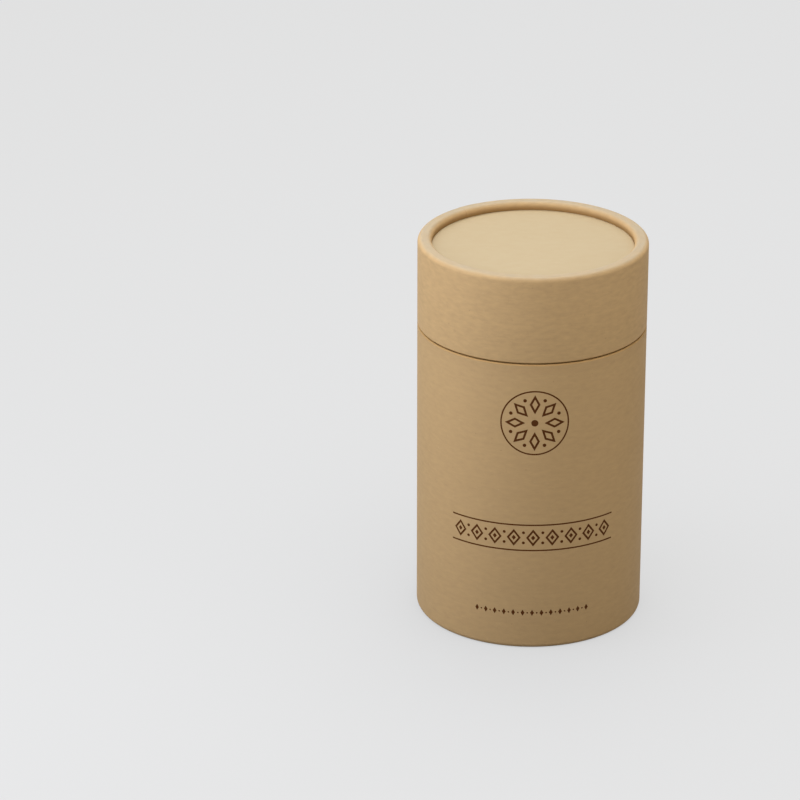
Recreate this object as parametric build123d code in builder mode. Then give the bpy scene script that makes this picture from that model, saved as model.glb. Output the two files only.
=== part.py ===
from math import cos, degrees, radians, sin
import os

from build123d import *

os.makedirs("parts", exist_ok=True)

# Outside sizes, in millimetres
outer_diameter = 75.0
overall_height = 130.0
lid_height = 29.0
seam_gap = 0.4

# Sheets and boards
kraft_paper = 0.2
lining_paper = 0.15
board_wall = 1.3
neck_wall = 1.2
end_board = 1.5
backing_board = 0.5

# Rolled rim, the same on the lid's top end and the body's bottom end
roll_hollow_radius = 0.2
crown_flat = 1.25
crown_press = 0.06
inner_drop = 0.6
tuck_angle = 35.0

# Fits and small features
lid_clearance = 0.12
turn_in = 10.0
lap_width = 8.0
lap_step = 0.1
body_lap_azimuth = 90.0
lid_lap_azimuth = 118.0

# Radii, from the outside in
outer_radius = outer_diameter / 2
core_outer = outer_radius - kraft_paper
core_inner = core_outer - board_wall
liner_inner = core_inner - lining_paper
neck_outer = liner_inner - lid_clearance
neck_core_outer = neck_outer - lining_paper
neck_core_inner = neck_core_outer - neck_wall
bore_radius = neck_core_inner - lining_paper

# The roll's section: over a flat crown, straight down inside, then tucked under
roll_radius = roll_hollow_radius + board_wall + kraft_paper
roll_centre = outer_radius - roll_radius
inner_centre = roll_centre - crown_flat
rim_width = roll_radius * 2 + crown_flat
core_turn_radius = roll_hollow_radius + board_wall / 2
wrap_turn_radius = roll_radius - kraft_paper / 2
centre_drop = roll_radius - crown_press
tuck_drop = centre_drop + inner_drop
disc_recess = tuck_drop + core_turn_radius * sin(radians(tuck_angle))

# Heights
lid_edge = overall_height - lid_height
body_edge = lid_edge - seam_gap
lid_facing_top = overall_height - disc_recess
lid_disc_top = lid_facing_top - kraft_paper
lid_disc_bottom = lid_disc_top - end_board
neck_top = lid_disc_bottom - backing_board
base_facing_bottom = disc_recess
base_disc_bottom = base_facing_bottom + kraft_paper
base_disc_top = base_disc_bottom + end_board
floor_top = base_disc_top + backing_board
lap_angle = degrees(lap_width / outer_radius)


def rolled_sheet(turn_radius, thickness, cut_edge, crown, side):
    """Draw one sheet of a wall, from its cut edge round the rolled rim."""
    centre_height = crown - side * centre_drop
    top_height = centre_height + side * turn_radius
    tuck_height = crown - side * tuck_drop
    inner_side = inner_centre - turn_radius
    facing = crown - side * disc_recess
    with BuildLine() as path:
        Line(
            (roll_centre + turn_radius, cut_edge),
            (roll_centre + turn_radius, centre_height),
        )
        CenterArc((roll_centre, centre_height), turn_radius, 0, side * 90)
        Line((roll_centre, top_height), (inner_centre, top_height))
        CenterArc((inner_centre, centre_height), turn_radius, side * 90, side * 90)
        Line((inner_side, centre_height), (inner_side, tuck_height))
        CenterArc((inner_centre, tuck_height), turn_radius, 180, side * tuck_angle)
    trace(path.line, line_width=thickness)
    toward_crown = Align.MIN if side > 0 else Align.MAX
    toward_disc = Align.MAX if side > 0 else Align.MIN
    with Locations((outer_radius - rim_width / 2, crown)):
        Rectangle(
            rim_width,
            roll_radius,
            align=(Align.CENTER, toward_crown),
            mode=Mode.SUBTRACT,
        )
    with Locations((inner_centre, facing)):
        Rectangle(
            roll_radius * 2,
            roll_radius,
            align=(Align.MAX, toward_disc),
            mode=Mode.SUBTRACT,
        )


def wall_plane(azimuth):
    """Give an upright plane through the axis that faces round the tube."""
    across = (cos(radians(azimuth)), sin(radians(azimuth)), 0)
    normal = (sin(radians(azimuth)), -cos(radians(azimuth)), 0)
    return Plane(origin=(0, 0, 0), x_dir=across, z_dir=normal)


def ring(inner, outer, low, high):
    """Draw the section of a plain straight sleeve."""
    with Locations((inner, low)):
        Rectangle(outer - inner, high - low, align=(Align.MIN, Align.MIN))


# Body: the wound board tube, its bottom end rolled in under the base disc
with BuildPart() as body_core_tube:
    with BuildSketch(Plane.XZ):
        rolled_sheet(core_turn_radius, board_wall, body_edge, 0, -1)
    revolve(axis=Axis.Z)

# Body: the kraft paper round it, lapped over itself at the back
with BuildPart() as body_kraft_wrap:
    with BuildSketch(Plane.XZ):
        rolled_sheet(wrap_turn_radius, kraft_paper, body_edge, 0, -1)
    revolve(axis=Axis.Z)
    with BuildSketch(wall_plane(body_lap_azimuth)):
        rolled_sheet(
            wrap_turn_radius + lap_step / 2,
            kraft_paper + lap_step,
            body_edge,
            0,
            -1,
        )
    revolve(axis=Axis.Z, revolution_arc=lap_angle)

# Body: the lining paper inside the board tube
with BuildPart() as body_inner_liner:
    with BuildSketch(Plane.XZ):
        ring(liner_inner, core_inner, base_disc_top, body_edge)
    revolve(axis=Axis.Z)

# Body: the board disc that closes the bottom end
with BuildPart() as base_disc:
    with BuildSketch(Plane.XY.offset(base_disc_bottom)):
        Circle(core_inner)
    extrude(amount=end_board)

# Body: the kraft paper on the base disc's underside
with BuildPart() as base_disc_facing:
    with BuildSketch(Plane.XY.offset(base_facing_bottom)):
        Circle(core_inner)
    extrude(amount=kraft_paper)

# Body: the card disc on the base disc, which the neck and the contents stand on
with BuildPart() as floor_disc:
    with BuildSketch(Plane.XY.offset(base_disc_top)):
        Circle(liner_inner)
    extrude(amount=backing_board)

# Body: the inner tube, standing on that disc and reaching up into the lid
with BuildPart() as neck_core_tube:
    with BuildSketch(Plane.XZ):
        ring(neck_core_inner, neck_core_outer, floor_top, neck_top - lining_paper)
    revolve(axis=Axis.Z)

# Body: the paper on the neck, turned over its top edge and down inside
with BuildPart() as neck_outer_facing:
    with BuildSketch(Plane.XZ):
        with BuildLine():
            Polyline(
                (neck_outer - lining_paper / 2, floor_top),
                (neck_outer - lining_paper / 2, neck_top - lining_paper / 2),
                (bore_radius + lining_paper / 2, neck_top - lining_paper / 2),
                (bore_radius + lining_paper / 2, neck_top - turn_in),
            )
        trace(line_width=lining_paper)
    revolve(axis=Axis.Z)

# Body: the lining inside the neck, up to the turned-in paper
with BuildPart() as neck_inner_liner:
    with BuildSketch(Plane.XZ):
        ring(bore_radius, neck_core_inner, floor_top, neck_top - turn_in)
    revolve(axis=Axis.Z)

# Lid: the wound board tube, its top end rolled in over the lid disc
with BuildPart() as lid_core_tube:
    with BuildSketch(Plane.XZ):
        rolled_sheet(core_turn_radius, board_wall, lid_edge, overall_height, 1)
    revolve(axis=Axis.Z)

# Lid: the kraft paper round it, lapped a little round from the body's lap
with BuildPart() as lid_kraft_wrap:
    with BuildSketch(Plane.XZ):
        rolled_sheet(wrap_turn_radius, kraft_paper, lid_edge, overall_height, 1)
    revolve(axis=Axis.Z)
    with BuildSketch(wall_plane(lid_lap_azimuth)):
        rolled_sheet(
            wrap_turn_radius + lap_step / 2,
            kraft_paper + lap_step,
            lid_edge,
            overall_height,
            1,
        )
    revolve(axis=Axis.Z, revolution_arc=lap_angle)

# Lid: the lining paper inside the board tube
with BuildPart() as lid_inner_liner:
    with BuildSketch(Plane.XZ):
        ring(liner_inner, core_inner, lid_edge, lid_disc_bottom)
    revolve(axis=Axis.Z)

# Lid: the board disc held under the rolled rim
with BuildPart() as lid_disc:
    with BuildSketch(Plane.XY.offset(lid_disc_bottom)):
        Circle(core_inner)
    extrude(amount=end_board)

# Lid: the kraft paper on top of that disc
with BuildPart() as lid_disc_facing:
    with BuildSketch(Plane.XY.offset(lid_disc_top)):
        Circle(core_inner)
    extrude(amount=kraft_paper)

# Lid: the card disc underneath, which comes down on the neck
with BuildPart() as lid_backing_disc:
    with BuildSketch(Plane.XY.offset(neck_top)):
        Circle(liner_inner)
    extrude(amount=backing_board)

finished = {
    "body_core_tube": body_core_tube,
    "body_kraft_wrap": body_kraft_wrap,
    "body_inner_liner": body_inner_liner,
    "base_disc": base_disc,
    "base_disc_facing": base_disc_facing,
    "floor_disc": floor_disc,
    "neck_core_tube": neck_core_tube,
    "neck_outer_facing": neck_outer_facing,
    "neck_inner_liner": neck_inner_liner,
    "lid_core_tube": lid_core_tube,
    "lid_kraft_wrap": lid_kraft_wrap,
    "lid_inner_liner": lid_inner_liner,
    "lid_disc": lid_disc,
    "lid_disc_facing": lid_disc_facing,
    "lid_backing_disc": lid_backing_disc,
}
for name, piece in finished.items():
    piece.part.label = name
    export_step(piece.part, f"parts/{name}.step")
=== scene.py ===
"""A kraft paper gift tube box: its papers, boards and print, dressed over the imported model."""
from math import asin, cos, degrees, exp, hypot, pi, radians, sin

import bpy
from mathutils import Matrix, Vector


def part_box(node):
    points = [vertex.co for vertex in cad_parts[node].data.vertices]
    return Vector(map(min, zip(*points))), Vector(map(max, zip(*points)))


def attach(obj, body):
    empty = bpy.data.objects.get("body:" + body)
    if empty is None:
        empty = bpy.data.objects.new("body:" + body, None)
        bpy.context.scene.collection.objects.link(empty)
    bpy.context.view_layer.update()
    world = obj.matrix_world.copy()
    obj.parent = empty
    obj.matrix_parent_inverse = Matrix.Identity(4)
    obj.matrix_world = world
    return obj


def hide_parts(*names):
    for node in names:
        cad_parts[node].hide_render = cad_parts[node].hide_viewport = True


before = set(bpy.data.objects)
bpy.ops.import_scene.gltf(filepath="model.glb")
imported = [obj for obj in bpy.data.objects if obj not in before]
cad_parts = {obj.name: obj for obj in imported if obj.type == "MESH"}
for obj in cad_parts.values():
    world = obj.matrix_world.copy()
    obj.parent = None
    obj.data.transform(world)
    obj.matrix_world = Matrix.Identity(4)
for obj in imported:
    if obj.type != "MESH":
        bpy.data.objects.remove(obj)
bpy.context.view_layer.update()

MM = 0.001
TURN = 2 * pi

# Sheets and boards, as in the CAD
kraft_paper = 0.2 * MM
lining_paper = 0.15 * MM
board_wall = 1.3 * MM
neck_wall = 1.2 * MM
lid_clearance = 0.12 * MM
turn_in = 10.0 * MM

# Rolled rim, as in the CAD
roll_hollow_radius = 0.2 * MM
crown_flat = 1.25 * MM
crown_press = 0.06 * MM
inner_drop = 0.6 * MM
lap_width = 8.0 * MM
lap_step = 0.1 * MM
body_lap_azimuth = 90.0
lid_lap_azimuth = 118.0

# Radii, from the outside in
outer_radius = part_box("lid_kraft_wrap")[1].x
core_outer = outer_radius - kraft_paper
core_inner = core_outer - board_wall
liner_inner = core_inner - lining_paper
neck_outer = liner_inner - lid_clearance
neck_core_outer = neck_outer - lining_paper
neck_core_inner = neck_core_outer - neck_wall
bore_radius = neck_core_inner - lining_paper
roll_radius = roll_hollow_radius + board_wall + kraft_paper
roll_centre = outer_radius - roll_radius
inner_centre = roll_centre - crown_flat
centre_drop = roll_radius - crown_press

# Heights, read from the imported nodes
base_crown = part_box("body_kraft_wrap")[0].z
body_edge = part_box("body_kraft_wrap")[1].z
lid_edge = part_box("lid_kraft_wrap")[0].z
lid_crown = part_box("lid_kraft_wrap")[1].z
disc_recess = lid_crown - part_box("lid_disc_facing")[1].z

# Finish that the scene adds: eased edges, paper bent in at the cut ends, a groove round the disc
board_ease = 0.12 * MM
edge_bend = 0.5 * MM
neck_corner = 0.35 * MM
groove_start = 32.8 * MM
groove_spread = 0.6 * MM
groove_depth = 0.6 * MM
press_spread = 12.0
flush_spread = 35.0
lap_rise = 1.6 * MM
butt_joint = 0.02 * MM
liner_ease = 0.04 * MM
facing_ease = 0.05 * MM
neck_board_ease = 0.2 * MM

# How finely it is drawn, and how near points are welded
steps_round = 320
outer_steps = 12
inner_steps = 8
groove_steps = 8
sharp_angle = 38.0
weld_gap = 0.0005 * MM

# The print: a star of lozenges, a bordered band and a short row
ink_stroke = 0.7 * MM
ink_film = 0.012 * MM
ink_depth = 0.03 * MM
ink_weld_gap = 0.002 * MM
star_height = 80.5 * MM
band_height = 40.0 * MM
row_height = 13.0 * MM
ring_corners = 128
eye_corners = 28
dot_corners = 20
small_dot_corners = 16
rule_points = 97
seed_share = 0.3
dot_share = 0.3

# Colours, as linear light
body_brown = (0.517, 0.334, 0.153)
lid_brown = (0.590, 0.381, 0.175)
disc_brown = (0.428, 0.317, 0.157)
neck_brown = (0.555, 0.36, 0.165)
kraft_shade = (0.41, 0.265, 0.125)
kraft_pale = (0.60, 0.43, 0.245)
# worn paper and painted sheen for the rim's crown
worn_and_sheen_pale = (0.413, 0.359, 0.262)
# painted shade for the bent paper at the cut edge, in the seam
seam_edge_shade_brown = (0.50, 0.28, 0.085)
# painted shade for the tuck, the lap's step and the rolled rim
painted_shade_brown = (0.3, 0.165, 0.055)
# the flecks' colour, also used for painted shade next to the seam
fleck_and_shade_brown = (0.25, 0.15, 0.068)
lining_brown = (0.52, 0.365, 0.205)
board_brown = (0.47, 0.285, 0.115)
board_dark = (0.30, 0.17, 0.065)
end_board_grey = (0.38, 0.31, 0.22)
ink_brown = (0.088, 0.026, 0.005)
floor_pale = (0.768, 0.768, 0.768)

# How papers and boards are wound, and a wall so tall that its roll never shows
lining_pitch = 62.0 * MM
ply_thickness = 0.33 * MM
no_roll = 1.0

# Studio: the camera fitted to the photograph, the floor and the air
camera_place = (-0.04314, -1.1665, 0.5684)
camera_tilt = 66.975
camera_lens = 172.98
aim_height = 0.08
floor_reach = 10.0
floor_bounce = 0.3
floor_glow = 0.93
floor_shade = 0.75
shade_reach = 0.3
air_light = 0.1


class Wire:
    """One socket of a node tree, so that the sums in a material read as plain expressions."""

    def __init__(self, tree, socket=None):
        self.tree = tree
        self.socket = socket

    def node(self, kind, settings=None, values=None, output=0):
        """Add any other node, its settings first, then its sockets, and give one of its outputs."""
        made = self.tree.nodes.new(kind)
        for setting, value in (settings or {}).items():
            setattr(made, setting, value)
        named = values if isinstance(values, dict) else dict(enumerate(values or ()))
        for key, value in named.items():
            self.plug(self.socket_of(made.inputs, key), value)
        return Wire(self.tree, self.socket_of(made.outputs, output) if made.outputs else None)

    def plug(self, socket, value):
        """Link a wire, or several, to a socket, or set the socket's own value."""
        wires = value if isinstance(value, list) else [value]
        if isinstance(wires[0], Wire):
            for wire in wires:
                self.tree.links.new(wire.socket, socket)
        else:
            socket.default_value = value

    def socket_of(self, sockets, key):
        """Find a socket by its place, its identifier or its name."""
        if isinstance(key, int):
            return sockets[key]
        found = [s for s in sockets if s.identifier == key]
        return (found or [s for s in sockets if s.name == key])[0]

    def part(self, name):
        """Give another output of the node that this wire comes from."""
        return Wire(self.tree, self.socket_of(self.socket.node.outputs, name))

    def maths(self, operation, *values):
        """Add a Math node."""
        return self.node("ShaderNodeMath", {"operation": operation}, list(values))

    def __add__(self, other):
        return self.maths("ADD", self, other)

    __radd__ = __add__

    def __sub__(self, other):
        return self.maths("SUBTRACT", self, other)

    def __rsub__(self, other):
        return self.maths("SUBTRACT", other, self)

    def __mul__(self, other):
        return self.maths("MULTIPLY", self, other)

    def __truediv__(self, other):
        return self.maths("DIVIDE", self, other)

    def __rtruediv__(self, other):
        return self.maths("DIVIDE", other, self)

    def __lt__(self, other):
        return self.maths("LESS_THAN", self, other)

    def __abs__(self):
        return self.maths("ABSOLUTE", self)

    def rise(self, low, high):
        """Go smoothly from 0 at low to 1 at high."""
        return self.node(
            "ShaderNodeMapRange",
            {"interpolation_type": "SMOOTHSTEP"},
            {"Value": self, "From Min": low, "From Max": high},
        )

    def towards(self, other, amount):
        """Mix this colour towards a plain one by an amount from 0 to 1."""
        return mixed(amount, self, (*other, 1))

    def vector(self, **parts):
        """Join wires or numbers, named X, Y and Z, into one vector."""
        return self.node("ShaderNodeCombineXYZ", {}, parts)

    def split(self):
        """Part this vector and give its X, whose other parts are Y and Z."""
        return self.node("ShaderNodeSeparateXYZ", {}, [self], "X")

    def diagonal(self, other):
        """Give the diagonal of a rectangle with these two sides."""
        return self.maths("POWER", self * self + other * other, 0.5)


def mixed(amount, first, second):
    """Mix two colours by a wire's amount from 0 to 1."""
    sockets = {"Factor_Float": amount, "A_Color": first, "B_Color": second}
    return amount.node("ShaderNodeMix", {"data_type": "RGBA"}, sockets, "Result_Color")


def between(amount, first, second):
    """Mix two plain colours, each given as red, green and blue."""
    return mixed(amount, (*first, 1), (*second, 1))


# Node trees and the meshes they make
def geometry_tree(name, sizes):
    """Start a Geometry Nodes tree with named inputs, and give it with its input wires."""
    tree = bpy.data.node_groups.new(name, "GeometryNodeTree")
    shape = "NodeSocketGeometry"
    tree.interface.new_socket("Geometry", in_out="INPUT", socket_type=shape)
    for label, kind in sizes.items():
        tree.interface.new_socket(label, in_out="INPUT", socket_type="NodeSocket" + kind)
    tree.interface.new_socket("Geometry", in_out="OUTPUT", socket_type=shape)
    return tree, Wire(tree).node("NodeGroupInput")


def carried(wire, name, kind):
    """Read a value that the points carry under that name."""
    settings = {"data_type": kind}
    return wire.node("GeometryNodeInputNamedAttribute", settings, {"Name": name}, "Attribute")


def finish_tree(tree, shape, material):
    """Close a tree: its instances made real, shaded smooth and dressed in a material."""
    real = shape.node("GeometryNodeRealizeInstances", {}, {"Geometry": shape})
    smooth = real.node("GeometryNodeSetShadeSmooth", {}, {"Geometry": real})
    dressed = smooth.node(
        "GeometryNodeSetMaterial", {}, {"Geometry": smooth, "Material": material}
    )
    out = tree.nodes.new("NodeGroupOutput")
    tree.links.new(dressed.socket, out.inputs[0])


def piece_from_tree(name, tree, drawing, values):
    """Run a tree on a drawing and give the result as a plain mesh piece."""
    maker = bpy.data.objects.new(name + "_maker", drawing)
    bpy.context.scene.collection.objects.link(maker)
    modifier = maker.modifiers.new(tree.name, "NODES")
    modifier.node_group = tree
    for item in tree.interface.items_tree:
        if item.in_out == "INPUT" and item.name in values:
            modifier[item.identifier] = values[item.name]
    graph = bpy.context.evaluated_depsgraph_get()
    mesh = bpy.data.meshes.new_from_object(
        maker.evaluated_get(graph), preserve_all_data_layers=True, depsgraph=graph
    )
    maker.modifiers.remove(modifier)
    bpy.data.objects.remove(maker)
    mesh.name = name
    finish = mesh.materials[-1]
    mesh.materials.clear()
    mesh.materials.append(finish)
    mesh.polygons.foreach_set("material_index", [0] * len(mesh.polygons))
    mesh.set_sharp_from_angle(angle=radians(sharp_angle))
    piece = bpy.data.objects.new(name, mesh)
    bpy.context.scene.collection.objects.link(piece)
    return piece


# Sections: points (radius, height) round one sheet or board
def corner(radius, height, ease, start, end, steps=4):
    """Give an eased corner about a centre, from one angle to another."""
    turns = [radians(start + (end - start) * i / steps) for i in range(steps + 1)]
    return [(radius + ease * cos(t), height + ease * sin(t)) for t in turns]


def sleeve_section(inner, outer, low, high, ease):
    """Give the outline of a plain straight sleeve with eased edges."""
    return (
        corner(outer - ease, low + ease, ease, -90, 0)
        + corner(outer - ease, high - ease, ease, 0, 90)
        + corner(inner + ease, high - ease, ease, 90, 180)
        + corner(inner + ease, low + ease, ease, 180, 270)
    )


def disc_section(radius, low, high, ease, press_low=0.0, press_high=0.0):
    """Give half the outline of a disc, its edge pressed up or down by the rolled rim."""
    shares = [i / groove_steps for i in range(groove_steps + 1)]
    groove = [(groove_start + groove_spread * s, s * s * (3 - 2 * s)) for s in shares]
    steps = [(groove_start * s, 0) for s in shares[:-1]] + groove
    low_edge = low + press_low + ease
    high_edge = high + press_high - ease
    return (
        [(r, low + press_low * share) for r, share in steps]
        + corner(radius - ease, low_edge, ease, -90, 0)
        + corner(radius - ease, high_edge, ease, 0, 90)
        + [(r, high + press_high * share) for r, share in reversed(steps)]
    )


def neck_section(floor_top, neck_top):
    """Give the outline of the neck's paper: up outside, over the board's edge and down inside."""
    fold = neck_top - neck_corner
    inside = neck_corner - lining_paper
    end = neck_top - turn_in
    return (
        [(neck_core_outer, floor_top), (neck_outer, floor_top)]
        + corner(neck_outer - neck_corner, fold, neck_corner, 0, 90, 6)
        + corner(bore_radius + neck_corner, fold, neck_corner, 90, 180, 6)
        + [(bore_radius, end), (neck_core_inner, end)]
        + corner(neck_core_inner + inside, fold, inside, 180, 90)
        + corner(neck_core_outer - inside, fold, inside, 90, 0)
    )


def rolled_section(inner_turn, outer_turn, cut_edge, crown, side):
    """Give a sheet's outline and its lap's lift: along the wall, over the rim, down to the disc."""
    reach = disc_recess + groove_depth - centre_drop - inner_drop
    tuck = degrees(asin(reach / roll_radius))
    hinge = outer_radius - edge_bend
    fold = cut_edge + side * edge_bend

    def turned(radius, middle, drop, angle):
        """Give a point of the roll, its crown pressed a little flat."""
        pressed = radius - crown_press * exp(-(((angle - 90) / press_spread) ** 2))
        turn = radians(angle)
        return (middle + pressed * cos(turn), crown + side * (pressed * sin(turn) - drop))

    def lifted(angle):
        """Give the lap's lift outwards, none of it above the crown."""
        flush = exp(-(((angle - 90) / flush_spread) ** 2))
        turn = radians(angle)
        return (cos(turn), side * sin(turn) * (1 - flush))

    def over(steps):
        """Give the three turns of the roll: up outside, down inside, and under at the disc."""
        low_drop = centre_drop + inner_drop
        shares = [i / steps for i in range(steps + 1)]
        outside = [(roll_centre, centre_drop, 90 * share) for share in shares]
        inside = [(inner_centre, centre_drop, 90 + 90 * share) for share in shares]
        under = [(inner_centre, low_drop, 180 + tuck * share) for share in shares]
        return outside + inside + under

    def bent(radius):
        """Give the end of a face, bent in at the cut edge by that radius."""
        turns = [radians(a) for a in (90, 72, 54, 36, 18, 0)]
        return [(hinge + radius * cos(t), fold - side * radius * sin(t)) for t in turns]

    outer_bend = edge_bend - roll_radius + outer_turn
    inner_bend = edge_bend - roll_radius + inner_turn
    board = inner_bend < 0
    outline = [(hinge, cut_edge)] if board else []
    outline += bent(outer_bend)
    lifts = [(1, 0)] * len(outline)
    for middle, drop, angle in over(outer_steps):
        outline.append(turned(outer_turn, middle, drop, angle))
        lifts.append(lifted(angle))
    inside = [turned(inner_turn, *turn) for turn in reversed(over(inner_steps))]
    inside += [(roll_centre + inner_turn, cut_edge)] if board else reversed(bent(inner_bend))
    return outline + inside, lifts + [(0, 0)] * len(inside)


def drawing_of(name, points, closed=True, lifts=None, backwards=False):
    """Draw a section flat, with its length along the sheet and its lap's lift on the points."""
    mesh = bpy.data.meshes.new(name)
    count = len(points)
    marks = []
    length = 0.0
    for i, (r, z) in enumerate(points):
        before = points[max(i - 1, 0)]
        length += hypot(r - before[0], z - before[1])
        marks.append((r, z, length, *(lifts[i] if lifts else (0, 0))))
    if backwards:
        marks.reverse()
    edges = [(i, (i + 1) % count) for i in range(count if closed else count - 1)]
    mesh.from_pydata([(mark[0], mark[1], 0) for mark in marks], edges, [])
    along = mesh.attributes.new("along", "FLOAT", "POINT")
    lift = mesh.attributes.new("lift", "FLOAT_VECTOR", "POINT")
    for i, mark in enumerate(marks):
        along.data[i].value = mark[2]
        lift.data[i].vector = (mark[3], mark[4], 0)
    return mesh


def turning_tree():
    """Turn a drawn section round the axis, the sheet's end lapped over its start."""
    tree, given = geometry_tree(
        "sheet_turned_round_the_axis",
        {
            "Steps Round": "Int",
            "Lap Edge": "Float",
            "Lap Angle": "Float",
            "Lap Rise": "Float",
            "Lap Step": "Float",
            "Joint Angle": "Float",
            "Outer Radius": "Float",
            "Finish": "Material",
        },
    )
    steps = given.part("Steps Round")
    edge = given.part("Lap Edge")
    joint = given.part("Joint Angle")
    size = given.part("Outer Radius")
    path = given.node(
        "GeometryNodeCurvePrimitiveCircle", {}, {"Resolution": steps, "Radius": size}, "Curve"
    )
    index = given.node("GeometryNodeInputIndex")
    path = given.node(
        "GeometryNodeStoreNamedAttribute",
        {"data_type": "FLOAT", "domain": "POINT"},
        {"Geometry": path, "Name": "turn", "Value": index / (steps - 1)},
    )
    inward = given.vector(X=size * -1)
    section = given.node(
        "GeometryNodeSetPosition", {}, {"Geometry": given.part("Geometry"), "Offset": inward}
    )
    outline = given.node("GeometryNodeMeshToCurve", {}, {"Mesh": section})
    skin = given.node("GeometryNodeCurveToMesh", {}, {"Curve": path, "Profile Curve": outline})
    turn = carried(given, "turn", "FLOAT")
    along = carried(given, "along", "FLOAT")
    out_lift = carried(given, "lift", "FLOAT_VECTOR").split()
    up_lift = out_lift.part("Y")
    place = given.node("GeometryNodeInputPosition").split()
    across = place.diagonal(place.part("Y"))
    round_angle = turn * (TURN - joint) + joint / 2
    lapped = (round_angle - (TURN - given.part("Lap Angle"))).rise(0.0, given.part("Lap Rise"))
    raised = lapped * given.part("Lap Step")
    radius = across + raised * out_lift
    azimuth = edge + round_angle
    moved = given.vector(
        X=radius * azimuth.maths("COSINE", azimuth),
        Y=radius * azimuth.maths("SINE", azimuth),
        Z=raised * up_lift - place.part("Z"),
    )
    sheet = given.vector(X=round_angle * size, Y=along)
    marked = given.node(
        "GeometryNodeStoreNamedAttribute",
        {"data_type": "FLOAT_VECTOR", "domain": "POINT"},
        {"Geometry": skin, "Name": "sheet", "Value": sheet},
    )
    shaped = given.node("GeometryNodeSetPosition", {}, {"Geometry": marked, "Position": moved})
    closed = given.node(
        "GeometryNodeMergeByDistance", {}, {"Geometry": shaped, "Distance": weld_gap}
    )
    outward = given.node("GeometryNodeFlipFaces", {}, {"Mesh": closed})
    finish_tree(tree, outward, given.part("Finish"))
    return tree


# Print: flat motifs in nodes, then laid round the tube
def filled(wire, *curves):
    """Fill the area between flat closed curves."""
    joined = wire.node("GeometryNodeJoinGeometry", {}, {"Geometry": list(curves)})
    return wire.node("GeometryNodeFillCurve", {"mode": "TRIANGLES"}, {"Curve": joined})


def flat_ring(wire, radius, corners, wide=1.0, tall=1.0, points=24):
    """Give a flat closed curve with that many corners, stretched as asked."""
    made = wire.node(
        "GeometryNodeCurvePrimitiveCircle", {}, {"Resolution": corners, "Radius": radius}, "Curve"
    )
    size = wire.vector(X=wide, Y=tall, Z=1.0)
    made = wire.node("GeometryNodeTransform", {}, {"Geometry": made, "Scale": size})
    values = {"Curve": made, "Count": points}
    return wire.node("GeometryNodeResampleCurve", {"mode": "COUNT"}, values)


def lozenge_frame(wire, wide, tall, stroke):
    """Give an outlined lozenge of even stroke."""
    slant = wide.diagonal(tall)
    inner = 1 - stroke * 2 * slant / (wide * tall)
    outside = flat_ring(wire, 0.5, 4, wide, tall)
    inside = flat_ring(wire, 0.5, 4, wide * inner, tall * inner)
    return filled(wire, outside, inside)


def placed(wire, points, motif, turn=None):
    """Set a motif on every point, turned if asked."""
    values = {"Points": points, "Instance": motif}
    if turn is not None:
        values["Rotation"] = wire.vector(Z=turn)
    return wire.node("GeometryNodeInstanceOnPoints", {}, values)


def points_in_circle(wire, count, radius, twist=0.0):
    """Give evenly spaced points on a circle."""
    made = wire.node("GeometryNodeMeshCircle", {}, {"Vertices": count, "Radius": radius})
    turn = wire.vector(Z=twist)
    return wire.node("GeometryNodeTransform", {}, {"Geometry": made, "Rotation": turn})


def points_in_row(wire, count, spacing, height=0.0):
    """Give evenly spaced points in a level row, centred."""
    start = wire.vector(X=(count - 1) * spacing * -0.5, Y=height)
    step = wire.vector(X=spacing)
    return wire.node(
        "GeometryNodeMeshLine", {}, {"Count": count, "Start Location": start, "Offset": step}
    )


def level_rule(wire, length, stroke, height):
    """Give a level line of even stroke, divided so that it can bend."""
    made = wire.node(
        "GeometryNodeMeshGrid",
        {},
        {"Size X": length, "Size Y": stroke, "Vertices X": rule_points, "Vertices Y": 2},
        "Mesh",
    )
    move = wire.vector(Y=height)
    return wire.node("GeometryNodeTransform", {}, {"Geometry": made, "Translation": move})


def laid_round(tree, given, motifs):
    """Give flat motifs the thickness of a film of ink and lay them round the tube."""
    joined = given.node("GeometryNodeJoinGeometry", {}, {"Geometry": list(motifs)})
    flat = given.node("GeometryNodeRealizeInstances", {}, {"Geometry": joined})
    thick = given.part("Film") + given.part("Depth")
    values = {"Mesh": flat, "Offset": given.vector(Z=thick), "Individual": False}
    face = given.node("GeometryNodeExtrudeMesh", {"mode": "FACES"}, values)
    back = given.node("GeometryNodeFlipFaces", {}, {"Mesh": flat})
    solid = given.node("GeometryNodeJoinGeometry", {}, {"Geometry": [face, back]})
    solid = given.node(
        "GeometryNodeMergeByDistance", {}, {"Geometry": solid, "Distance": ink_weld_gap}
    )
    place = given.node("GeometryNodeInputPosition").split()
    tube = given.part("Tube Radius")
    azimuth = place / tube
    radius = tube - given.part("Depth") + place.part("Z")
    around = given.vector(
        X=radius * azimuth.maths("SINE", azimuth),
        Y=radius * azimuth.maths("COSINE", azimuth) * -1,
        Z=place.part("Y") + given.part("Height"),
    )
    laid = given.node("GeometryNodeSetPosition", {}, {"Geometry": solid, "Position": around})
    finish_tree(tree, laid, given.part("Ink"))
    return tree


PRINT_SIZES = {
    "Tube Radius": "Float",
    "Height": "Float",
    "Film": "Float",
    "Depth": "Float",
    "Stroke": "Float",
    "Ink": "Material",
}


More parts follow.
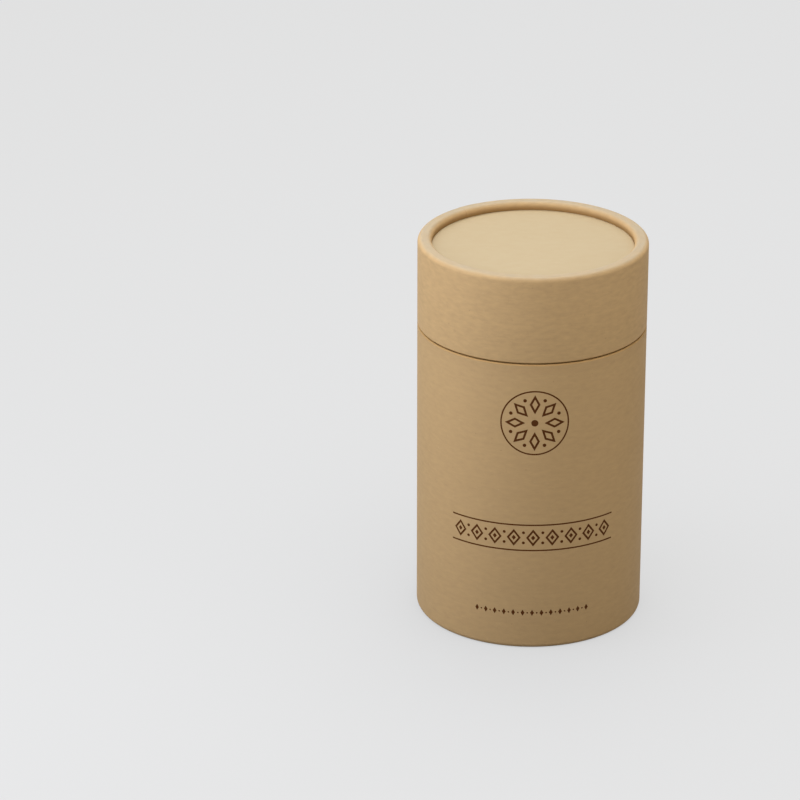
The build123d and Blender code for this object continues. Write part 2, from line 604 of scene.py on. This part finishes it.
def star_tree():
    """Print a star of outlined lozenges with dots between them, in a thin ring."""
    own = {
        "Petals": "Int",
        "Petal Reach": "Float",
        "Petal Width": "Float",
        "Petal Length": "Float",
        "Dot Reach": "Float",
        "Dot Radius": "Float",
        "Eye Radius": "Float",
        "Ring Radius": "Float",
        "Ring Stroke": "Float",
    }
    tree, given = geometry_tree("printed_star", PRINT_SIZES | own)
    petals = given.part("Petals")
    turn = given.node("GeometryNodeInputIndex") * TURN / petals - pi / 2
    sides = (given.part("Petal Width"), given.part("Petal Length"))
    petal = lozenge_frame(given, *sides, given.part("Stroke"))
    star = placed(given, points_in_circle(given, petals, given.part("Petal Reach")), petal, turn)
    dot = filled(given, flat_ring(given, given.part("Dot Radius"), dot_corners))
    dots = placed(given, points_in_circle(given, petals, given.part("Dot Reach"), pi / petals), dot)
    eye_sizes = {"Vertices": eye_corners, "Radius": given.part("Eye Radius")}
    eye = given.node("GeometryNodeMeshCircle", {"fill_type": "TRIANGLE_FAN"}, eye_sizes)
    outside = given.part("Ring Radius")
    inside = outside - given.part("Ring Stroke")
    ring = filled(
        given,
        flat_ring(given, outside, ring_corners, points=ring_corners),
        flat_ring(given, inside, ring_corners, points=ring_corners),
    )
    return laid_round(tree, given, [star, dots, eye, ring])


def band_tree():
    """Print a row of framed lozenges with dots between them, with a rule above and below."""
    own = {
        "Motifs": "Int",
        "Spacing": "Float",
        "Motif Width": "Float",
        "Motif Height": "Float",
        "Dot Radius": "Float",
        "Rule Length": "Float",
        "Rule Stroke": "Float",
        "Rule Height": "Float",
    }
    tree, given = geometry_tree("printed_band", PRINT_SIZES | own)
    wide = given.part("Motif Width")
    tall = given.part("Motif Height")
    motifs = given.part("Motifs")
    spacing = given.part("Spacing")
    rule_height = given.part("Rule Height")
    row = points_in_row(given, motifs, spacing)
    frames = placed(given, row, lozenge_frame(given, wide, tall, given.part("Stroke")))
    seed = flat_ring(given, 0.5, 4, wide * seed_share, tall * seed_share, 12)
    seeds = placed(given, row, filled(given, seed))
    dot = filled(given, flat_ring(given, given.part("Dot Radius"), dot_corners))
    gaps = motifs - 1
    dots = [
        placed(given, points_in_row(given, gaps, spacing, tall * side), dot)
        for side in (-dot_share, dot_share)
    ]
    rules = [
        level_rule(given, given.part("Rule Length"), given.part("Rule Stroke"), rule_height * side)
        for side in (-1, 1)
    ]
    return laid_round(tree, given, [frames, seeds, *dots, *rules])


def row_tree():
    """Print a short row of small solid lozenges with dots between them."""
    own = {
        "Motifs": "Int",
        "Spacing": "Float",
        "Motif Width": "Float",
        "Motif Height": "Float",
        "Dot Radius": "Float",
    }
    tree, given = geometry_tree("printed_row", PRINT_SIZES | own)
    motifs = given.part("Motifs")
    spacing = given.part("Spacing")
    sides = (given.part("Motif Width"), given.part("Motif Height"))
    motif = filled(given, flat_ring(given, 0.5, 4, *sides))
    corners = small_dot_corners
    dot = filled(given, flat_ring(given, given.part("Dot Radius"), corners, points=corners))
    row = placed(given, points_in_row(given, motifs, spacing), motif)
    dots = placed(given, points_in_row(given, motifs - 1, spacing), dot)
    return laid_round(tree, given, [row, dots])


# Materials
def new_material(name):
    """Start an empty material, and give it with a first wire."""
    material = bpy.data.materials.new(name)
    material.use_nodes = True
    material.node_tree.nodes.clear()
    return material, Wire(material.node_tree)


def close_material(wire, sockets, relief, depth, strength, gloss=0.3):
    """End a material in its one shader, with a bump from its relief."""
    values = {"Height": relief, "Distance": depth, "Strength": strength}
    sockets["Normal"] = wire.node("ShaderNodeBump", {}, values)
    sockets["Specular IOR Level"] = gloss
    shader = wire.node("ShaderNodeBsdfPrincipled", {}, sockets)
    wire.node("ShaderNodeOutputMaterial", {}, {"Surface": shader})


def noise(place, scale, stretch=(1, 1, 1), detail=2.0, roughness=0.5, shift=(0, 0, 0)):
    """Give noise that repeats about every millimetre divided by scale, stretched as asked."""
    size = tuple(scale / MM / s for s in stretch)
    spot = place.node("ShaderNodeMapping", {}, {"Vector": place, "Scale": size, "Location": shift})
    values = {"Vector": spot, "Scale": 1.0, "Detail": detail, "Roughness": roughness}
    return place.node("ShaderNodeTexNoise", {"noise_dimensions": "3D"}, values, "Fac")


def flecks(place, cell, radius, share, stretch=(1, 1, 1), shift=(0, 0, 0)):
    """Give small scattered specks: a share of the cells has one, of about that radius."""
    size = tuple(1 / (cell * s) for s in stretch)
    spot = place.node("ShaderNodeMapping", {}, {"Vector": place, "Scale": size, "Location": shift})
    values = {"Vector": spot, "Scale": 1.0}
    found = place.node("ShaderNodeTexVoronoi", {"feature": "F1"}, values, "Distance")
    chance = place.node("ShaderNodeSeparateColor", {}, [found.part("Color")], "Red")
    reach = chance * (radius / cell) / share
    inside = 1 - (found - reach * 0.7).rise(0.0, 0.35 * radius / cell)
    return inside * (chance < share)


def fibres(place, length, width, shift=(0, 0, 0), keep=0.56):
    """Give thin curved hairs, cut to short lengths."""
    wander = noise(place, MM / length, (1, 1, 1), 1.5, 0.4, shift)
    line = 1 - abs(wander - 0.5).rise(0.0, width)
    cut = noise(place, MM / length * 1.3, (1, 1, 1), 1.0, 0.5, (shift[0] + 31, shift[1], 7))
    return line * cut.rise(keep, keep + 0.05)


def kraft_surface(place, tone, busy=1.0):
    """Give kraft paper's colour, relief and roughness at a place on the sheet."""
    cloud = noise(place, 0.09, (1.6, 1, 1), 3.0)
    streak = noise(place, 0.5, (30, 1, 1), 2.0)
    weave = noise(place, 2.2, (5, 1, 1), 3.0, 0.6)
    grit = noise(place, 0.75, (2.4, 1, 1), 2.0, 0.5, (5, 9, 0))
    hairs = fibres(place, 3.0 * MM, 0.012)
    pale_hairs = fibres(place, 2.4 * MM, 0.010, (17, 3, 0), 0.58)
    specks = flecks(place, 3.4 * MM, 0.30 * MM, 0.34, (1.25, 1, 1))
    crumbs = flecks(place, 1.7 * MM, 0.14 * MM, 0.4, (1.6, 1, 1), (3, 8, 0))
    pale_specks = flecks(place, 2.6 * MM, 0.22 * MM, 0.25, (2.0, 1, 1), (11, 2, 0))
    mottle = cloud * 0.2 + streak * 0.2 + weave * 0.4 + grit * 0.8 - 0.8
    colour = between(mottle * busy + 0.205, tone, kraft_shade)
    dark = specks * 0.3 + crumbs * 0.16 + hairs * 0.12
    colour = colour.towards(fleck_and_shade_brown, dark * busy)
    colour = colour.towards(kraft_pale, (pale_specks * 0.3 + pale_hairs * 0.22) * busy)
    relief = weave * 0.5 + grit * 0.35 + (hairs + pale_hairs) * 0.3
    roughness = 0.56 + grit * 0.1 + cloud * 0.08
    return colour, relief, roughness


def rolled_kraft(name, wall_height, tone, shade_amount):
    """Kraft paper on a wall with a rolled rim: worn, with painted sheen, on the crown; crimped,
    with painted shade, where it tucks in.
    """
    material, wire = new_material(name)
    sheet = wire.node("ShaderNodeAttribute", {"attribute_name": "sheet"}, None, "Vector")
    colour, relief, roughness = kraft_surface(sheet, tone)
    around = sheet.split()
    along = around.part("Y")
    start = wall_height - centre_drop + edge_bend * (pi / 2 - 1)
    over = (along - start) / roll_radius
    # painted shadow at the foot of the lap's step, where the sheet's start lies under its end
    lap_step_shadow = (1 - around.rise(0.05 * MM, 0.5 * MM)) * (1 - over.rise(-1.0, 0.3))
    flat = crown_flat / roll_radius
    crown = 1 - abs(over - (pi + flat) / 2).rise(0.5, 1.5)
    # wear and painted sheen: the rim's crown is mixed towards a pale grey-brown
    wear_and_sheen = crown * (noise(sheet, 0.35, (3, 1, 1), 3.0, 0.6, (2, 4, 0)).rise(0.3, 0.8) * 0.3 + 0.7)
    # where the paper tucks in: crimped relief, and painted shade in the colour
    tucked = over.rise(flat + 2.5, flat + 3.6)
    # painted shade on the wall within a few millimetres of its cut edge, by the seam
    seam_shade = (1 - along.rise(0.5 * MM, 5.5 * MM)) * shade_amount * 0.1
    # painted shade on the bent paper within a millimetre of the cut edge, in the seam
    cut = 1 - along.rise(0.4 * MM, 0.9 * MM)
    # painted shade by the seam, mixed in
    colour = colour.towards(fleck_and_shade_brown, seam_shade)
    colour = colour.towards(worn_and_sheen_pale, wear_and_sheen * 0.7)
    # painted shade over the rolled rim past its start, strongest on the body, whose rim meets the
    # floor
    roll_shade = over.rise(0.4, 1.1) * shade_amount
    # painted shade at the cut edge, mixed in
    colour = colour.towards(seam_edge_shade_brown, cut * 0.6)
    # painted shadow at the lap's step
    colour = colour.towards(painted_shade_brown, lap_step_shadow * 0.6)
    # painted shade in the tuck and over the rolled rim
    colour = colour.towards(painted_shade_brown, tucked * 0.85 + roll_shade * 0.4)
    crimp = noise(sheet, 0.75, (1, 9, 1), 2.0, 0.5, (8, 1, 0)) * tucked
    relief = relief + crimp * 1.6
    sockets = {"Base Color": colour, "Roughness": roughness - wear_and_sheen * 0.1}
    close_material(wire, sockets, relief, 0.03 * MM, 0.4, 0.2)
    return material


def flat_kraft(name, tone):
    """Kraft paper on a flat disc, calendered smoother than the paper on the walls."""
    material, wire = new_material(name)
    place = wire.node("ShaderNodeTexCoord", {}, None, "Object")
    colour, relief, roughness = kraft_surface(place, tone, 0.35)
    sockets = {"Base Color": colour, "Roughness": roughness}
    close_material(wire, sockets, relief, 0.02 * MM, 0.2, 1.0)
    return material


def lining(name):
    """Lining paper wound in a spiral, with its joint as a faint line."""
    material, wire = new_material(name)
    place = wire.node("ShaderNodeTexCoord", {}, None, "Object")
    colour, relief, roughness = kraft_surface(place, lining_brown)
    x = place.split()
    azimuth = x.maths("ARCTAN2", x.part("Y"), x)
    winding = x.maths("FRACT", azimuth / TURN + x.part("Z") / lining_pitch + 0.3)
    joint = 1 - abs(winding - 0.5).rise(0.0, 0.006)
    colour = colour.towards(kraft_shade, joint * 0.6)
    sockets = {"Base Color": colour, "Roughness": roughness + 0.06}
    close_material(wire, sockets, relief - joint, 0.03 * MM, 0.4)
    return material


def wound_board(name):
    """Board tube: plies in rings on the cut edges, rough fibre everywhere."""
    material, wire = new_material(name)
    place = wire.node("ShaderNodeTexCoord", {}, None, "Object")
    x = place.split()
    across = x.diagonal(x.part("Y"))
    waver = noise(place, 0.4, (1, 1, 1), 2.0) * 0.08 * MM
    ply = x.maths("FRACT", (across + waver) / ply_thickness)
    line = 1 - abs(ply - 0.5).rise(0.06, 0.2)
    grain = noise(place, 3.0, (1, 1, 1), 4.0, 0.65)
    tone = between(grain * 0.5, board_brown, board_dark).towards(board_dark, line * 0.55)
    sockets = {"Base Color": tone, "Roughness": 0.75 + grain * 0.15}
    close_material(wire, sockets, grain - line * 0.6, 0.05 * MM, 0.6, 0.05)
    return material


def pressed_board(name):
    """Grey-brown board of the discs, with pulp fibres and specks."""
    material, wire = new_material(name)
    place = wire.node("ShaderNodeTexCoord", {}, None, "Object")
    pulp = noise(place, 1.4, (1, 1, 1), 4.0, 0.65)
    specks = flecks(place, 2.2 * MM, 0.25 * MM, 0.5)
    tone = between(pulp * 0.55, end_board_grey, board_dark).towards(board_dark, specks * 0.5)
    sockets = {"Base Color": tone, "Roughness": 0.72 + pulp * 0.15}
    close_material(wire, sockets, pulp, 0.04 * MM, 0.5)
    return material


def printed_ink(name):
    """Dark brown ink, a little thinner where paper fibres show through."""
    material, wire = new_material(name)
    place = wire.node("ShaderNodeTexCoord", {}, None, "Object")
    pulp = noise(place, 2.4, (1, 1, 1), 3.0, 0.6)
    thin = noise(place, 6.0, (1, 1, 1), 2.0, 0.6, (4, 4, 4)).rise(0.62, 0.75)
    tone = between(pulp * 0.04 + thin * 0.1, ink_brown, body_brown)
    sockets = {"Base Color": tone, "Roughness": 0.6 + pulp * 0.12}
    close_material(wire, sockets, pulp, 0.01 * MM, 0.3, 0.05)
    return material


# Pieces
def dress(piece, body, slot, *nodes):
    """Let a piece stand for its CAD nodes and ride on their body."""
    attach(piece, body)
    if nodes:
        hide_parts(*nodes)
    return piece


def turned_piece(name, drawing, material, lap=None):
    """Turn a drawn section round the axis as one piece, with a lap where its sheet has one."""
    lap_end = radians(lap) + lap_width / outer_radius if lap is not None else pi / 2
    values = {
        "Steps Round": steps_round,
        "Lap Edge": lap_end,
        "Lap Angle": lap_width / outer_radius,
        "Lap Rise": lap_rise / outer_radius,
        "Lap Step": lap_step if lap is not None else 0.0,
        "Joint Angle": butt_joint / outer_radius,
        "Outer Radius": outer_radius,
        "Finish": material,
    }
    return piece_from_tree(name, turning, drawing, values)


def rolled_piece(node, material, inner_turn, outer_turn, cut_edge, crown, side, lap=None):
    """Make one rolled sheet of the body or the lid."""
    section, lifts = rolled_section(inner_turn, outer_turn, cut_edge, crown, side)
    drawing = drawing_of(node + "_section", section, True, lifts, side < 0)
    return turned_piece(node + "_modelled", drawing, material, lap)


def disc_piece(node, material, radius, ease, press_low=0.0, press_high=0.0):
    """Make one disc in the place of its CAD node."""
    low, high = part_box(node)
    section = disc_section(radius, low.z, high.z, ease, press_low, press_high)
    drawing = drawing_of(node + "_section", section, False)
    return turned_piece(node + "_modelled", drawing, material)


def sleeve_piece(node, material, inner, outer, ease):
    """Make one plain sleeve in the place of its CAD node."""
    low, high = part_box(node)
    drawing = drawing_of(node + "_section", sleeve_section(inner, outer, low.z, high.z, ease))
    return turned_piece(node + "_modelled", drawing, material)


def make_body(finishes):
    """Make the papers and boards of the standing part."""
    hollow = roll_hollow_radius
    under = hollow + board_wall
    slots = {
        "body_kraft_wrap": rolled_piece(
            "body_kraft_wrap", finishes["body_kraft"], under, roll_radius,
            body_edge, base_crown, -1, body_lap_azimuth,
        ),
        "body_core_tube": rolled_piece(
            "body_core_tube", finishes["tube_board"], hollow, under, body_edge, base_crown, -1
        ),
        "body_inner_liner": sleeve_piece(
            "body_inner_liner", finishes["lining_paper"], liner_inner, core_inner, liner_ease
        ),
        "base_disc": disc_piece(
            "base_disc", finishes["end_board"], core_inner, board_ease, groove_depth
        ),
        "base_disc_facing": disc_piece(
            "base_disc_facing", finishes["flat_kraft"], core_inner, facing_ease,
            groove_depth, groove_depth,
        ),
        "floor_disc": disc_piece("floor_disc", finishes["end_board"], liner_inner, board_ease),
        "neck_core_tube": sleeve_piece(
            "neck_core_tube", finishes["tube_board"], neck_core_inner, neck_core_outer,
            neck_board_ease,
        ),
        "neck_inner_liner": sleeve_piece(
            "neck_inner_liner", finishes["lining_paper"], bore_radius, neck_core_inner, liner_ease
        ),
    }
    low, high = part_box("neck_outer_facing")
    drawing = drawing_of("neck_outer_facing_section", neck_section(low.z, high.z))
    slots["neck_outer_facing"] = turned_piece(
        "neck_outer_facing_modelled", drawing, finishes["neck_kraft"]
    )
    return slots


def make_lid(finishes):
    """Make the papers and boards of the lid."""
    hollow = roll_hollow_radius
    under = hollow + board_wall
    return {
        "lid_kraft_wrap": rolled_piece(
            "lid_kraft_wrap", finishes["lid_kraft"], under, roll_radius,
            lid_edge, lid_crown, 1, lid_lap_azimuth,
        ),
        "lid_core_tube": rolled_piece(
            "lid_core_tube", finishes["tube_board"], hollow, under, lid_edge, lid_crown, 1
        ),
        "lid_inner_liner": sleeve_piece(
            "lid_inner_liner", finishes["lining_paper"], liner_inner, core_inner, liner_ease
        ),
        "lid_disc": disc_piece(
            "lid_disc", finishes["end_board"], core_inner, board_ease, 0.0, -groove_depth
        ),
        "lid_disc_facing": disc_piece(
            "lid_disc_facing", finishes["flat_kraft"], core_inner, facing_ease,
            -groove_depth, -groove_depth,
        ),
        "lid_backing_disc": disc_piece(
            "lid_backing_disc", finishes["end_board"], liner_inner, board_ease
        ),
    }


def make_print(ink):
    """Print the front of the body, as films of ink on the paper."""
    shared = {
        "Tube Radius": outer_radius,
        "Film": ink_film,
        "Depth": ink_depth,
        "Stroke": ink_stroke,
        "Ink": ink,
    }
    star = {
        "Height": star_height,
        "Petals": 8,
        "Petal Reach": 6.4 * MM,
        "Petal Width": 3.5 * MM,
        "Petal Length": 6.6 * MM,
        "Dot Reach": 8.4 * MM,
        "Dot Radius": 0.6 * MM,
        "Eye Radius": 1.15 * MM,
        "Ring Radius": 11.2 * MM,
        "Ring Stroke": 0.5 * MM,
    }
    band = {
        "Height": band_height,
        "Motifs": 9,
        "Spacing": 6.3 * MM,
        "Motif Width": 4.6 * MM,
        "Motif Height": 6.0 * MM,
        "Dot Radius": 0.5 * MM,
        "Rule Length": 57.0 * MM,
        "Rule Stroke": 0.5 * MM,
        "Rule Height": 4.5 * MM,
        "Stroke": 0.65 * MM,
    }
    row = {
        "Height": row_height,
        "Motifs": 13,
        "Spacing": 3.1 * MM,
        "Motif Width": 1.3 * MM,
        "Motif Height": 2.2 * MM,
        "Dot Radius": 0.28 * MM,
    }
    blank = bpy.data.meshes.new("print_start")
    for name, tree, sizes in (
        ("print_star", star_tree(), star),
        ("print_band", band_tree(), band),
        ("print_row", row_tree(), row),
    ):
        dress(piece_from_tree(name, tree, blank, shared | sizes), "canister", "kraft_paper")


# Studio
def photograph_camera():
    """Stand the camera where the photograph was taken from."""
    data = bpy.data.cameras.new("photograph_camera")
    data.sensor_width = 36.0
    data.lens = camera_lens
    data.clip_start = 0.05
    data.clip_end = 60.0
    camera = bpy.data.objects.new("photograph_camera", data)
    camera.location = camera_place
    camera.rotation_euler = (radians(camera_tilt), 0, 0)
    bpy.context.scene.collection.objects.link(camera)
    bpy.context.scene.camera = camera


def soft_lamp(name, place, size, power, tint=(1.0, 1.0, 1.0)):
    """Hang one soft square lamp, turned to face the middle of the part."""
    data = bpy.data.lights.new(name, "AREA")
    data.shape = "SQUARE"
    data.size = size
    data.energy = power
    data.color = tint
    lamp = bpy.data.objects.new(name, data)
    lamp.location = place
    away = lamp.location - type(lamp.location)((0, 0, aim_height))
    lamp.rotation_euler = away.to_track_quat("Z", "Y").to_euler()
    lamp.visible_camera = False
    bpy.context.scene.collection.objects.link(lamp)


def seen_or_mirrored(wire):
    """Give 1 for what the camera sees, straight or in a gloss or through something clear."""
    straight = wire.node("ShaderNodeLightPath", {}, None, "Is Camera Ray")
    bent = straight.maths(
        "MAXIMUM", straight.part("Is Glossy Ray"), straight.part("Is Transmission Ray")
    )
    return straight.maths("MAXIMUM", straight, bent)


def pale_floor():
    """Lay the studio floor, pale grey out to the horizon and shaded where the part stands."""
    reach = floor_reach
    mesh = bpy.data.meshes.new("studio_floor")
    corners = [(-reach, -reach, 0), (reach, -reach, 0), (reach, reach, 0), (-reach, reach, 0)]
    mesh.from_pydata(corners, [], [(0, 1, 2, 3)])
    floor = bpy.data.objects.new("studio_floor", mesh)
    bpy.context.scene.collection.objects.link(floor)
    material, wire = new_material("pale_floor")
    grey = (floor_bounce, floor_bounce, floor_bounce, 1)
    matt = wire.node("ShaderNodeBsdfDiffuse", {}, {"Color": grey})
    settings = {"samples": 8}
    clear = wire.node("ShaderNodeAmbientOcclusion", settings, {"Distance": shade_reach}, "AO")
    shade = tuple(channel * floor_shade for channel in floor_pale)
    tone = between(clear, shade, floor_pale)
    glow = wire.node("ShaderNodeEmission", {}, {"Color": tone, "Strength": 1.0})
    bright = wire.node("ShaderNodeBsdfDiffuse", {}, {"Color": (0.8, 0.8, 0.8, 1)})
    shown = wire.node("ShaderNodeMixShader", {}, [floor_glow, bright, glow])
    both = wire.node("ShaderNodeMixShader", {}, [seen_or_mirrored(wire), matt, shown])
    wire.node("ShaderNodeOutputMaterial", {}, {"Surface": both})
    floor.data.materials.append(material)


def studio_air():
    """Fill the studio with even light, and show its pale grey beyond the floor."""
    world = bpy.data.worlds.new("studio_air")
    world.use_nodes = True
    world.node_tree.nodes.clear()
    wire = Wire(world.node_tree)
    light = wire.node("ShaderNodeBackground", {}, {"Color": (1, 1, 1, 1), "Strength": air_light})
    shown = wire.node("ShaderNodeBackground", {}, {"Color": (*floor_pale, 1), "Strength": 1.0})
    both = wire.node("ShaderNodeMixShader", {}, [seen_or_mirrored(wire), light, shown])
    wire.node("ShaderNodeOutputWorld", {}, {"Surface": both})
    bpy.context.scene.world = world


def studio_lamps():
    """Hang the lamps: two large ones over the part, one high on the left, and three small fills."""
    soft_lamp("top_back_lamp", (0, 0.45, 1.0), 0.6, 6.71, (0.975, 1.0, 1.009))
    soft_lamp("top_front_lamp", (0, -0.45, 0.95), 0.6, 5.26, (0.973, 1.0, 1.057))
    soft_lamp("left_high_lamp", (-0.35, -0.02, 0.42), 0.25, 0.6, (0.9, 1.0, 1.2))
    soft_lamp("left_fill", (-0.3, -0.1, 0.17), 0.15, 0.38, (0.95, 1.0, 1.094))
    soft_lamp("left_front_fill", (-0.24, -0.24, 0.16), 0.15, 0.14, (0.987, 1.0, 1.132))
    soft_lamp("right_fill", (0.3, -0.14, 0.16), 0.15, 0.25, (1.053, 1.0, 0.901))


turning = turning_tree()
finishes = {
    # the last number sets the painted shade by the seam and over the rolled rim
    "body_kraft": rolled_kraft("body_kraft_paper", body_edge - base_crown, body_brown, 1.0),
    "lid_kraft": rolled_kraft("lid_kraft_paper", lid_crown - lid_edge, lid_brown, 0.1),
    "neck_kraft": rolled_kraft("neck_kraft_paper", no_roll, neck_brown, 0.0),
    "flat_kraft": flat_kraft("disc_kraft_paper", disc_brown),
    "lining_paper": lining("spiral_lining_paper"),
    "tube_board": wound_board("wound_tube_board"),
    "end_board": pressed_board("pressed_end_board"),
}
SLOTS = {
    "body_kraft_wrap": "kraft_paper",
    "lid_kraft_wrap": "kraft_paper",
    "lid_disc_facing": "kraft_paper",
    "base_disc_facing": "kraft_paper",
    "neck_outer_facing": "kraft_paper",
    "body_inner_liner": "lining_paper",
    "lid_inner_liner": "lining_paper",
    "neck_inner_liner": "lining_paper",
    "body_core_tube": "tube_board",
    "lid_core_tube": "tube_board",
    "neck_core_tube": "tube_board",
}
for node, piece in make_body(finishes).items():
    dress(piece, "canister", SLOTS.get(node, "end_board"), node)
for node, piece in make_lid(finishes).items():
    dress(piece, "lid", SLOTS.get(node, "end_board"), node)
make_print(printed_ink("dark_brown_ink"))
photograph_camera()
pale_floor()
studio_air()
studio_lamps()
bpy.context.scene.view_settings.view_transform = "Standard"
